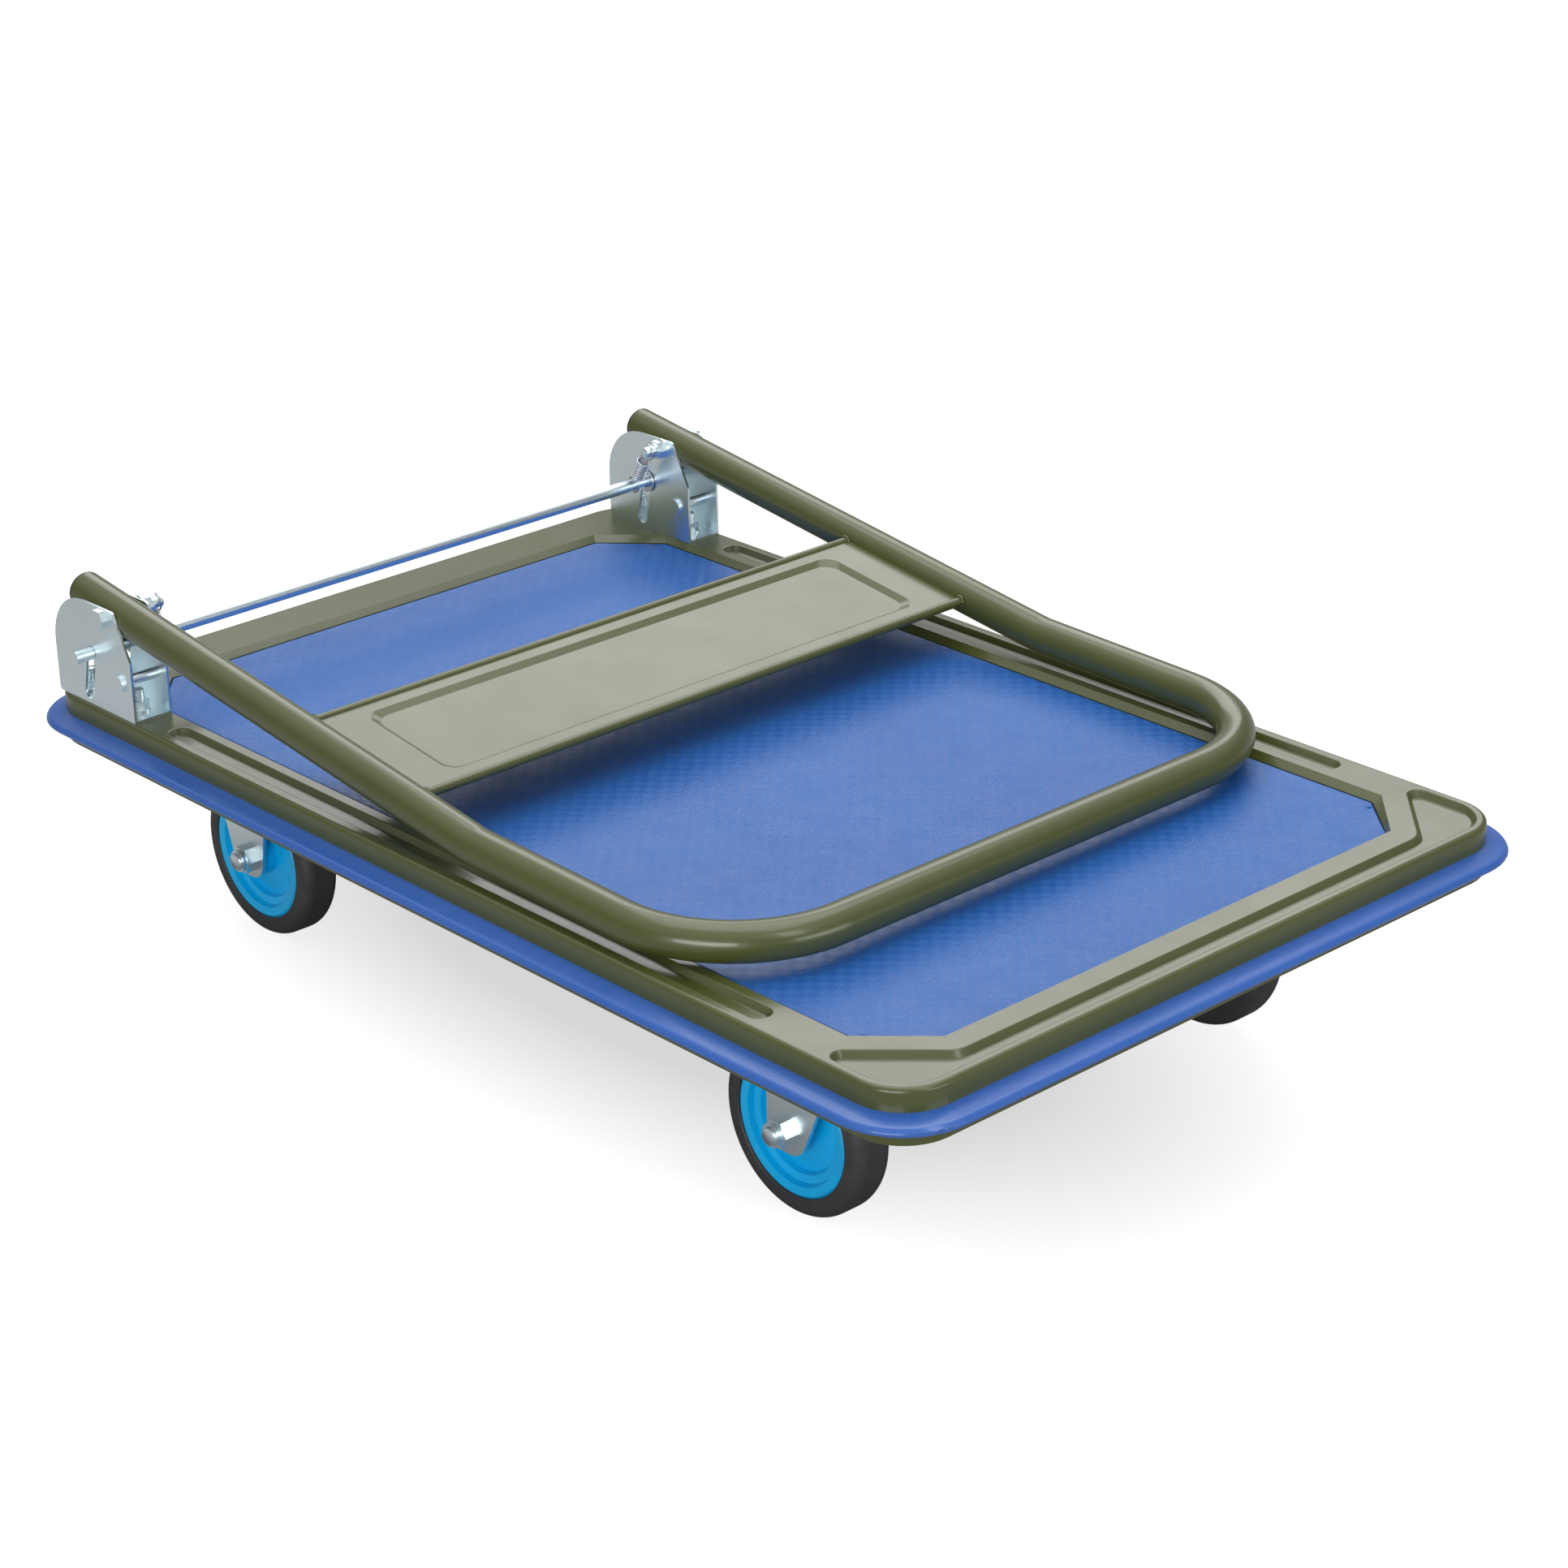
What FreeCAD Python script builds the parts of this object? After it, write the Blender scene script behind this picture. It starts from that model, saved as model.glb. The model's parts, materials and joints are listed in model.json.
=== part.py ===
import FreeCAD, Part
import math
import os

import Sketcher

# Folding platform cart: a pressed steel deck with a vinyl mat and a bumper, a tubular handle that
# folds flat about two hinge brackets, a foot-operated lock rod, two swivel and two rigid casters.
# Frame: X along the deck (hinge end at -X), Y across it, Z up, origin on the floor under the
# middle of the deck.

V = FreeCAD.Vector
doc = FreeCAD.newDocument("FoldingPlatformCart")
dims = doc.addObject("Spreadsheet::Sheet", "dims")
nodes = {}


# ---------------------------------------------------------------- driving dimensions

class Size:
    """A length that carries both its value and the sheet formula it comes from."""

    def __init__(self, value, text):
        self.value = float(value)
        self.text = text

    def combine(self, other, sign, value):
        return Size(value, "(" + self.text + " " + sign + " " + as_size(other).text + ")")

    def __add__(self, other):
        return self.combine(other, "+", self.value + as_size(other).value)

    def __sub__(self, other):
        return self.combine(other, "-", self.value - as_size(other).value)

    def __mul__(self, other):
        return self.combine(other, "*", self.value * as_size(other).value)

    def __truediv__(self, other):
        return self.combine(other, "/", self.value / as_size(other).value)

    def __neg__(self):
        return Size(-self.value, "(0 - " + self.text + ")")


def as_size(x):
    if isinstance(x, Size):
        return x
    return Size(x, repr(round(float(x), 4)))


def dim(alias, value, note):
    """Put one named dimension in the sheet and hand back its Size."""
    dim.row += 1
    row = str(dim.row)
    dims.set("A" + row, alias)
    dims.set("B" + row, str(value))
    dims.set("C" + row, note)
    dims.setAlias("B" + row, alias)
    return Size(value, "dims." + alias)


dim.row = 0

deck_length = dim("deck_length", 890, "outside length of the deck pan")
deck_width = dim("deck_width", 558, "outside width of the deck pan")
deck_top = dim("deck_top", 180, "height of the deck border above the floor")
deck_depth = dim("deck_depth", 37, "depth of the pan wall")
deck_corner = dim("deck_corner", 37, "plan radius of the deck corners")
gauge = dim("gauge", 2, "deck sheet thickness")
rim_radius = dim("rim_radius", 3.5, "radius of the top outer edge of the pan")
well_back = dim("well_back", 402, "well edge towards the hinge end")
well_front = dim("well_front", 405, "well edge towards the front end")
well_side = dim("well_side", 245.5, "half width of the well")
well_chamfer = dim("well_chamfer", 40.5, "corner chamfer of the well")
well_lip = dim("well_lip", 5.5, "run of the sloping lip round the well")
well_depth = dim("well_depth", 10, "depth of the well floor below the border")
lip_depth = dim("lip_depth", 4.2, "drop of the sloping lip")
mat_thick = dim("mat_thick", 5.8, "mat thickness")
press_depth = dim("press_depth", 4, "depth of the pressed grooves and front recess")
groove_back = dim("groove_back", 306, "groove end towards the hinge end")
groove_front = dim("groove_front", 314, "groove end towards the front")
groove_line = dim("groove_line", 261.5, "distance of the groove centre lines from the middle")
groove_radius = dim("groove_radius", 8.5, "half width of the grooves")
edge_radius = dim("edge_radius", 1.2, "radius along the pressed edges of the deck")
bumper_reach = dim("bumper_reach", 16.5, "how far the bumper stands out from the wall")
bumper_top = dim("bumper_top", 164.5, "top of the bumper at the wall")
bumper_base = dim("bumper_base", 151.5, "underside of the bumper")

wheel_radius = dim("wheel_radius", 62.5, "tyre radius")
wheel_width = dim("wheel_width", 30, "tyre width")
wheel_line = dim("wheel_line", 186, "distance of the wheels from the middle line")
front_axle = dim("front_axle", 264.3, "front axle position along the deck")
rear_axle = dim("rear_axle", 307.2, "rear axle position behind the middle")
trail = dim("trail", 38, "swivel caster trail")
axle_radius = dim("axle_radius", 6, "axle bolt radius")
run_gap = dim("run_gap", 0.05, "radial clearance of the running fits")
fork_gap = dim("fork_gap", 35, "clear width between the caster legs")
fork_gauge = dim("fork_gauge", 3, "caster sheet thickness")
plate_top = dim("plate_top", 156, "height of the caster plate faces")
plate_length = dim("plate_length", 100, "caster plate length")
plate_width = dim("plate_width", 84, "caster plate width")
hole_pitch_x = dim("hole_pitch_x", 76, "caster bolt pitch along the deck")
hole_pitch_y = dim("hole_pitch_y", 60, "caster bolt pitch across the deck")

pivot_back = dim("pivot_back", 362, "handle pivot behind the middle")
pivot_height = dim("pivot_height", 252.5, "handle pivot height")
bracket_line = dim("bracket_line", 260.6, "distance of the brackets and tubes from the middle")
bracket_gap = dim("bracket_gap", 27.6, "clear width inside the bracket")
bracket_gauge = dim("bracket_gauge", 1.8, "bracket sheet thickness")
bracket_height = dim("bracket_height", 79.5, "bracket height above the deck")
tube_radius = dim("tube_radius", 13.5, "handle tube radius")
tube_wall = dim("tube_wall", 1.8, "handle tube wall")
tail = dim("tail", 43.5, "tube behind the pivot")
bend_ahead = dim("bend_ahead", 38, "crank bend in front of the middle")
bend_height = dim("bend_height", 200, "tube height at the crank bend")
bar_ahead = dim("bar_ahead", 274.3, "front cross tube in front of the middle")
bar_height = dim("bar_height", 195.3, "height of the front cross tube")
bar_radius = dim("bar_radius", 94, "bend radius of the front corners")
crank_radius = dim("crank_radius", 70, "bend radius of the crank")
pivot_radius = dim("pivot_radius", 4, "pivot bolt radius")
rod_radius = dim("rod_radius", 5, "lock rod radius")
rod_reach = dim("rod_reach", 291, "lock rod half length")
rod_back = dim("rod_back", 381, "lock rod behind the middle")
rod_height = dim("rod_height", 221, "lock rod height at the top of its slot")
slot_drop = dim("slot_drop", 32.1, "fall of the lock slot")
slot_lean = dim("slot_lean", 7.5, "backward lean of the lock slot")
stop_back = dim("stop_back", 347.5, "stop pin behind the middle")
stop_height = dim("stop_height", 207, "stop pin height")
doc.recompute()


# ---------------------------------------------------------------- helpers

def bind(obj, prop, x):
    """Set a property from a sheet formula, or from a plain number."""
    if isinstance(x, Size):
        obj.setExpression(prop, x.text)
    elif prop.startswith(".Placement.Base."):
        base = obj.Placement.Base
        setattr(base, prop[-1], float(x))
        obj.Placement = FreeCAD.Placement(base, obj.Placement.Rotation)
    else:
        setattr(obj, prop, float(x))


def put(obj, x, y, z, turn=None):
    if turn is not None:
        obj.Placement = FreeCAD.Placement(V(0, 0, 0), turn)
    bind(obj, ".Placement.Base.x", x)
    bind(obj, ".Placement.Base.y", y)
    bind(obj, ".Placement.Base.z", z)
    return obj


ALONG = {
    "Z": FreeCAD.Rotation(),
    "X": FreeCAD.Rotation(V(0, 1, 0), 90),
    "Y": FreeCAD.Rotation(V(1, 0, 0), -90),
    "-Y": FreeCAD.Rotation(V(1, 0, 0), 90),
    "-Z": FreeCAD.Rotation(V(1, 0, 0), 180),
}


def cylinder(name, radius, height, x, y, z, along="Z"):
    obj = doc.addObject("Part::Cylinder", name)
    bind(obj, "Radius", radius)
    bind(obj, "Height", height)
    return put(obj, x, y, z, ALONG[along])


def hexagon(name, across_flats, height, x, y, z, along="Z"):
    obj = doc.addObject("Part::Prism", name)
    obj.Polygon = 6
    obj.Circumradius = across_flats / math.sqrt(3)
    bind(obj, "Height", height)
    return put(obj, x, y, z, ALONG[along])


def ball(name, radius, x, y, z):
    obj = doc.addObject("Part::Sphere", name)
    bind(obj, "Radius", radius)
    return put(obj, x, y, z)


def fuse(name, parts):
    obj = doc.addObject("Part::MultiFuse", name)
    obj.Shapes = parts
    return obj


def cut(name, base, tool):
    obj = doc.addObject("Part::Cut", name)
    obj.Base = base
    obj.Tool = tool
    return obj


def group(name, parts):
    obj = doc.addObject("Part::Compound", name)
    obj.Links = parts
    return obj


def keep(label, obj):
    obj.Label = label
    nodes[label] = obj
    return obj


def new_body(name):
    return doc.addObject("PartDesign::Body", name)


def new_sketch(body, name, plane, offset=0):
    """A sketch on one of the body's own origin planes, moved along the plane's normal."""
    support = [f for f in body.Origin.OriginFeatures if f.Role == plane][0]
    sketch = body.newObject("Sketcher::SketchObject", name)
    sketch.AttachmentSupport = [(support, "")]
    sketch.MapMode = "FlatFace"
    if isinstance(offset, Size):
        sketch.setExpression(".AttachmentOffset.Base.z", offset.text)
    else:
        sketch.AttachmentOffset = FreeCAD.Placement(V(0, 0, float(offset)), FreeCAD.Rotation())
    return sketch


def fix_point(sketch, geo, pos, label, x, y):
    """Tie a point of the sketch to the sheet by its distances from the sketch origin."""
    for axis, place in (("X", as_size(x)), ("Y", as_size(y))):
        kind = "Distance" + axis
        row = sketch.addConstraint(Sketcher.Constraint(kind, -1, 1, geo, pos, place.value))
        sketch.renameConstraint(row, label + axis)
        sketch.setExpression("Constraints." + label + axis, place.text)


def polygon(sketch, corners):
    """A closed outline of straight lines with every corner tied to the sheet."""
    first = sketch.GeometryCount
    count = len(corners)
    points = [V(as_size(x).value, as_size(y).value, 0) for x, y in corners]
    for i in range(count):
        sketch.addGeometry(Part.LineSegment(points[i], points[(i + 1) % count]), False)
    for i in range(count):
        following = first + (i + 1) % count
        sketch.addConstraint(Sketcher.Constraint("Coincident", first + i, 2, following, 1))
    for i, (x, y) in enumerate(corners):
        fix_point(sketch, first + i, 1, "p" + str(first + i), x, y)


def circle(sketch, x, y, radius):
    geo = sketch.addGeometry(
        Part.Circle(V(as_size(x).value, as_size(y).value, 0), V(0, 0, 1), as_size(radius).value), False)
    row = sketch.addConstraint(Sketcher.Constraint("Radius", geo, as_size(radius).value))
    sketch.renameConstraint(row, "r" + str(geo))
    sketch.setExpression("Constraints.r" + str(geo), as_size(radius).text)
    fix_point(sketch, geo, 3, "c" + str(geo), x, y)


def rounded(sketch, corners):
    """A closed outline through the corners, each rounded to its own radius."""
    ends = []
    count = len(corners)
    for i, (x, y, r) in enumerate(corners):
        here = V(x, y, 0)
        before = (V(*corners[i - 1][:2], 0) - here).normalize()
        after = (V(*corners[(i + 1) % count][:2], 0) - here).normalize()
        if r <= 0:
            ends.append((here, None, here))
            continue
        half = before.getAngle(after) / 2
        reach = r / math.tan(half)
        centre = here + (before + after).normalize() * (r / math.sin(half))
        middle = centre + (here - centre).normalize() * r
        ends.append((here + before * reach, middle, here + after * reach))
    first = sketch.GeometryCount
    for i in range(count):
        start, middle, end = ends[i]
        if middle is not None:
            sketch.addGeometry(Part.Arc(start, middle, end), False)
        sketch.addGeometry(Part.LineSegment(end, ends[(i + 1) % count][0]), False)
    for geo in range(first, sketch.GeometryCount):
        sketch.addConstraint(Sketcher.Constraint("Block", geo))


def capsule(sketch, a, b, radius):
    """A slot outline round two centres."""
    run = (b - a).normalize() * radius
    across = V(-run.y, run.x, 0)
    first = sketch.GeometryCount
    sketch.addGeometry(Part.LineSegment(a - across, b - across), False)
    sketch.addGeometry(Part.Arc(b - across, b + run, b + across), False)
    sketch.addGeometry(Part.LineSegment(b + across, a + across), False)
    sketch.addGeometry(Part.Arc(a + across, a - run, a - across), False)
    for geo in range(first, sketch.GeometryCount):
        sketch.addConstraint(Sketcher.Constraint("Block", geo))


def pad(body, name, sketch, length, midplane=False, reverse=False):
    feature = body.newObject("PartDesign::Pad", name)
    feature.Profile = sketch
    feature.Midplane = midplane
    feature.Reversed = reverse
    bind(feature, "Length", length)
    return feature


def pocket(body, name, sketch, length, midplane=False, reverse=False):
    feature = body.newObject("PartDesign::Pocket", name)
    feature.Profile = sketch
    feature.Midplane = midplane
    feature.Reversed = reverse
    bind(feature, "Length", length)
    return feature


def loft(body, name, kind, sketches):
    feature = body.newObject("PartDesign::" + kind, name)
    feature.Profile = sketches[0]
    feature.Sections = sketches[1:]
    feature.Ruled = True
    return feature


def turned(body, name, sketch, axis="V_Axis"):
    feature = body.newObject("PartDesign::Revolution", name)
    feature.Profile = sketch
    feature.ReferenceAxis = (sketch, [axis])
    feature.Angle = 360
    return feature


def soften(body, name, radius, chosen):
    """Fillet the edges of the body's present tip for which chosen(edge) is true."""
    doc.recompute()
    base = body.Tip
    names = []
    for i, edge in enumerate(base.Shape.Edges):
        if chosen(edge):
            names.append("Edge" + str(i + 1))
    feature = body.newObject("PartDesign::Fillet", name)
    feature.Base = (base, names)
    bind(feature, "Radius", radius)
    return feature


def level(edge, z):
    box = edge.BoundBox
    return abs(box.ZMin - z) < 0.01 and abs(box.ZMax - z) < 0.01


def upright(edge):
    box = edge.BoundBox
    return box.XLength < 0.01 and box.YLength < 0.01


# ---------------------------------------------------------------- deck pan, mat and bumper

def rounded_rectangle(sketch, half_length, half_width, radius):
    a, b, r = half_length.value, half_width.value, radius.value
    rounded(sketch, [(-a, -b, r), (a, -b, r), (a, b, r), (-a, b, r)])


def well_corners(inset):
    """The eight corners of the well outline, moved inwards by inset."""
    back = -(well_back - inset)
    front = well_front - inset * 0.35
    side = well_side - inset
    along = well_chamfer + inset * 0.15
    rear = side - well_chamfer + inset * 0.4
    fore = side - well_chamfer + inset * 0.9
    return [(back + along, -side), (front - along, -side), (front, -fore), (front, fore),
            (front - along, side), (back + along, side), (back, rear), (back, -rear)]


def groove_outline(sketch, side, radius):
    y = side * groove_line.value
    reach = groove_radius.value
    capsule(sketch, V(reach - groove_back.value, y, 0), V(groove_front.value - reach, y, 0), radius)


def recess_outline(sketch, grow):
    """The shallow channel along the front edge, widening into a triangle at each corner."""
    far = deck_length.value / 2 - 6.6 + grow
    wide = deck_width.value / 2 - 7.0 + grow
    near = 423.0 - grow
    shoulder = 211.0 - grow * 0.4
    tip = near - (wide - shoulder)
    corner = 30 + grow
    point = 8 + grow
    rounded(sketch, [(near, -shoulder, 18), (tip, -wide, point), (far, -wide, corner),
                     (far, wide, corner), (tip, wide, point), (near, shoulder, 18)])


half_length = deck_length / 2
half_width = deck_width / 2
deck_base = deck_top - deck_depth
well_floor = deck_top - well_depth

pan = new_body("deck_pan")
outline = new_sketch(pan, "pan_outline", "XY_Plane", deck_base)
rounded_rectangle(outline, half_length, half_width, deck_corner)
pad(pan, "pan_block", outline, deck_depth)
soften(pan, "pan_rim", rim_radius, lambda e: level(e, deck_top.value))

hollow = new_sketch(pan, "pan_hollow_outline", "XY_Plane", deck_base)
rounded_rectangle(hollow, half_length - gauge, half_width - gauge, deck_corner - gauge)
pocket(pan, "pan_hollow", hollow, deck_depth - well_depth - gauge, reverse=True)

under_well = deck_top - well_depth - gauge
around_well = new_sketch(pan, "pan_step_outline", "XY_Plane", under_well)
rounded_rectangle(around_well, half_length - gauge, half_width - gauge, deck_corner - gauge)
polygon(around_well, well_corners(-gauge))
pocket(pan, "pan_step", around_well, well_depth - press_depth, reverse=True)

under_press = deck_top - press_depth - gauge
around_press = new_sketch(pan, "pan_ceiling_outline", "XY_Plane", under_press)
rounded_rectangle(around_press, half_length - gauge, half_width - gauge, deck_corner - gauge)
polygon(around_press, well_corners(-gauge))
recess_outline(around_press, 1.5)
for side in (-1, 1):
    groove_outline(around_press, side, groove_radius.value + 1.5)
pocket(pan, "pan_ceiling", around_press, press_depth, reverse=True)

well = new_sketch(pan, "well_outline", "XY_Plane", deck_top)
polygon(well, well_corners(well_lip))
pocket(pan, "well_pocket", well, well_depth)
lip_top = new_sketch(pan, "lip_top", "XY_Plane", deck_top)
polygon(lip_top, well_corners(as_size(0)))
lip_low = new_sketch(pan, "lip_low", "XY_Plane", deck_top - lip_depth)
polygon(lip_low, well_corners(well_lip))
loft(pan, "well_lip_slope", "SubtractiveLoft", [lip_top, lip_low])

for side in (-1, 1):
    tag = "near" if side < 0 else "far"
    top = new_sketch(pan, "groove_top_" + tag, "XY_Plane", deck_top)
    groove_outline(top, side, groove_radius.value)
    low = new_sketch(pan, "groove_low_" + tag, "XY_Plane", deck_top - press_depth)
    groove_outline(low, side, groove_radius.value - 3.5)
    loft(pan, "groove_" + tag, "SubtractiveLoft", [top, low])

recess_top = new_sketch(pan, "recess_top", "XY_Plane", deck_top)
recess_outline(recess_top, 0)
recess_low = new_sketch(pan, "recess_low", "XY_Plane", deck_top - press_depth)
recess_outline(recess_low, -3.5)
loft(pan, "front_recess", "SubtractiveLoft", [recess_top, recess_low])



def on_recess(edge):
    on_well = in_zone(edge, -402.5, 405.5, -1, 246)
    return in_zone(edge, 350, 440, -1, 273.5) and not on_well


def in_zone(edge, x_low, x_high, y_low, y_high):
    """True for a top edge whose whole length lies in the zone; y is taken without its sign."""
    box = edge.BoundBox
    y_near = min(abs(box.YMin), abs(box.YMax))
    y_far = max(abs(box.YMin), abs(box.YMax))
    return (level(edge, deck_top.value) and box.XMin > x_low and box.XMax < x_high
            and y_near > y_low and y_far < y_high)


soften(pan, "groove_edges", edge_radius, lambda e: in_zone(e, -320, 320, 252.5, 271))
soften(pan, "recess_edges", edge_radius, on_recess)

bracket_bolt_x = [-350, -408]
holes = new_sketch(pan, "bracket_holes", "XY_Plane", deck_top)
for x in bracket_bolt_x:
    for side in (-1, 1):
        circle(holes, x, bracket_line * side, 4.2)
pocket(pan, "bracket_bolt_holes", holes, gauge)
keep("deck_pan", pan)

mat = new_body("deck_mat")
mat_outline = new_sketch(mat, "mat_outline", "XY_Plane", well_floor)
polygon(mat_outline, well_corners(well_lip + 0.4))
pad(mat, "mat_sheet", mat_outline, mat_thick)
soften(mat, "mat_edge", 1.5, lambda e: level(e, well_floor.value + mat_thick.value))
keep("deck_mat", mat)

bumper = new_body("deck_bumper")
route = new_sketch(bumper, "bumper_route", "XY_Plane", bumper_base)
rounded_rectangle(route, half_length, half_width, deck_corner)
section = new_sketch(bumper, "bumper_section", "YZ_Plane")
inner = -half_width.value
base_z = bumper_base.value
top_z = bumper_top.value
reach = bumper_reach.value
rounded(section, [(inner, base_z, 0), (inner - 5.5, base_z + 1.4, 3.0),
                  (inner - reach, base_z + 5.2, 2.4), (inner - reach + 3.6, top_z - 3.0, 3.0),
                  (inner, top_z, 0)])
extrusion = bumper.newObject("PartDesign::AdditivePipe", "bumper_extrusion")
extrusion.Profile = section
extrusion.Spine = route
extrusion.Mode = "Standard"
extrusion.Transition = "Round corner"
keep("deck_bumper", bumper)


# ---------------------------------------------------------------- channels under the deck

def oblong(x, reach, half):
    """The corners of a rectangle centred on a station along the deck."""
    return [(x - reach, -half), (x + reach, -half), (x + reach, half), (x - reach, half)]


def cross_channel(label, x, holes_at):
    """A flanged channel across the underside that spreads the caster loads."""
    body = new_body(label)
    length = 468
    box = new_sketch(body, label + "_box", "XY_Plane", plate_top)
    polygon(box, oblong(x, 58, length / 2))
    pad(body, label + "_tray", box, under_well - plate_top)
    flange = new_sketch(body, label + "_flange", "XY_Plane", under_well - gauge)
    polygon(flange, oblong(x, 74, length / 2))
    pad(body, label + "_flanges", flange, gauge)
    inside = new_sketch(body, label + "_inside", "XY_Plane", under_well)
    polygon(inside, oblong(x, 56, length / 2))
    pocket(body, label + "_hollow", inside, under_well - plate_top - gauge)
    drilled = new_sketch(body, label + "_holes", "XY_Plane", plate_top + gauge)
    for centre, pin in holes_at:
        for side in (-1, 1):
            if pin:
                circle(drilled, centre, wheel_line * side, 7.0)
            for i in (-1, 1):
                for j in (-1, 1):
                    across = wheel_line * side + hole_pitch_y * (j / 2)
                    circle(drilled, centre + hole_pitch_x * (i / 2), across, 4.2)
    pocket(body, label + "_drilling", drilled, gauge)
    keep(label, body)


king = -(rear_axle + trail)
cross_channel("cross_channel_front", front_axle, [(front_axle, False)])
cross_channel("cross_channel_rear", king, [(king, True)])


# ---------------------------------------------------------------- hinge brackets

def hinge_bracket(label, side):
    """A folded U bracket with a round back, a level top and a slanted front edge."""
    body = new_body(label)
    x = -pivot_back.value
    z = deck_top.value
    h = bracket_height.value
    profile = new_sketch(body, label + "_profile", "XZ_Plane", -(bracket_line * side))
    rounded(profile, [(x - 66, z, 3), (x - 66, z + h, 41), (x + 12, z + h, 3),
                      (x + 30, z + 46, 3), (x + 30, z, 0)])
    pad(body, label + "_block", profile, bracket_gap + bracket_gauge * 2, midplane=True)
    gap = new_sketch(body, label + "_gap", "XZ_Plane", -(bracket_line * side))
    floor = deck_top + bracket_gauge
    polygon(gap, [(x - 90, floor), (x + 60, floor), (x + 60, floor + 90), (x - 90, floor + 90)])
    pocket(body, label + "_channel", gap, bracket_gap, midplane=True)
    bores = new_sketch(body, label + "_bores", "XZ_Plane", -(bracket_line * side))
    circle(bores, -pivot_back, pivot_height, pivot_radius + run_gap)
    circle(bores, -stop_back, stop_height, 4)
    pocket(body, label + "_drilling", bores, 60, midplane=True)
    slot = new_sketch(body, label + "_slot", "XZ_Plane", -(bracket_line * side))
    top = V(-rod_back.value, rod_height.value, 0)
    low = V(-rod_back.value - slot_lean.value, rod_height.value - slot_drop.value, 0)
    capsule(slot, top, low, rod_radius.value + 0.4)
    pocket(body, label + "_lock_slot", slot, 60, midplane=True)
    feet = new_sketch(body, label + "_feet", "XY_Plane", floor)
    for bolt_x in bracket_bolt_x:
        circle(feet, bolt_x, bracket_line * side, 4.2)
    pocket(body, label + "_foot_holes", feet, bracket_gauge)
    keep(label, body)


hinge_bracket("hinge_bracket_r", -1)
hinge_bracket("hinge_bracket_l", 1)

bolts, washers, nuts = [], [], []
floor = deck_top + bracket_gauge
for side in (-1, 1):
    for x in bracket_bolt_x:
        tag = ("r" if side < 0 else "l") + str(-x)
        y = bracket_line * side
        head = hexagon("foot_head_" + tag, 13, 5.3, x, y, deck_top - gauge - 5.3)
        shank = cylinder("foot_shank_" + tag, 4, 20.0, x, y, deck_top - gauge - 0.1)
        bolts.append(fuse("foot_bolt_" + tag, [head, shank]))
        ring = cylinder("foot_ring_" + tag, 8, 1.6, x, y, floor)
        bore = cylinder("foot_ring_bore_" + tag, 4.2, 4, x, y, floor - 1)
        washers.append(cut("foot_washer_" + tag, ring, bore))
        nut = hexagon("foot_hex_" + tag, 13, 6.5, x, y, floor + 1.6)
        tap = cylinder("foot_tap_" + tag, 4, 9, x, y, floor + 1)
        nuts.append(cut("foot_nut_" + tag, nut, tap))
keep("bracket_bolts", group("bracket_bolts_set", bolts))
keep("bracket_washers", group("bracket_washers_set", washers))
keep("bracket_nuts", group("bracket_nuts_set", nuts))

outer_face = bracket_line + bracket_gap / 2 + bracket_gauge
inner_face = bracket_line - bracket_gap / 2 - bracket_gauge
pins, pivots, lock_nuts, pivot_washers = [], [], [], []
for side in (-1, 1):
    tag = "r" if side < 0 else "l"
    out = "-Y" if side < 0 else "Y"
    into = "Y" if side < 0 else "-Y"
    width = bracket_gap + bracket_gauge * 2
    pin = cylinder("stop_shank_" + tag, 4, width, -stop_back, outer_face * side, stop_height, into)
    cap_out = cylinder("stop_cap_out_" + tag, 6.5, 2.2, -stop_back, outer_face * side, stop_height, out)
    cap_in = cylinder("stop_cap_in_" + tag, 6.5, 2.2, -stop_back, inner_face * side, stop_height, into)
    pins.append(fuse("stop_pin_" + tag, [pin, cap_out, cap_in]))
    head = hexagon("pivot_head_" + tag, 13, 5.3, -pivot_back, outer_face * side, pivot_height, out)
    shank = cylinder("pivot_shank_" + tag, pivot_radius, width + 18, -pivot_back, outer_face * side,
                     pivot_height, into)
    pivots.append(fuse("pivot_bolt_" + tag, [head, shank]))
    ring = cylinder("pivot_ring_" + tag, 8, 1.6, -pivot_back, inner_face * side, pivot_height, into)
    bore = cylinder("pivot_ring_bore_" + tag, pivot_radius, 4, -pivot_back, (inner_face + 1) * side,
                    pivot_height, into)
    pivot_washers.append(cut("pivot_washer_" + tag, ring, bore))
    body_hex = hexagon("pivot_hex_" + tag, 13, 6.0, -pivot_back, (inner_face - 1.6) * side,
                       pivot_height, into)
    collar = cylinder("pivot_collar_" + tag, 6.0, 8.0, -pivot_back, (inner_face - 1.6) * side,
                      pivot_height, into)
    tap = cylinder("pivot_tap_" + tag, pivot_radius, 14, -pivot_back, (inner_face - 0.6) * side,
                   pivot_height, into)
    lock_nuts.append(cut("pivot_nut_" + tag, fuse("pivot_nut_blank_" + tag, [body_hex, collar]), tap))
keep("stop_pins", group("stop_pins_set", pins))
keep("pivot_bolts", group("pivot_bolts_set", pivots))
keep("pivot_washers", group("pivot_washers_set", pivot_washers))
keep("pivot_nuts", group("pivot_nuts_set", lock_nuts))


# ---------------------------------------------------------------- lock rod and springs

rod = cylinder("lock_bar", rod_radius, rod_reach * 2, -rod_back, -rod_reach, rod_height, "Y")
keep("lock_rod", rod)

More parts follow.
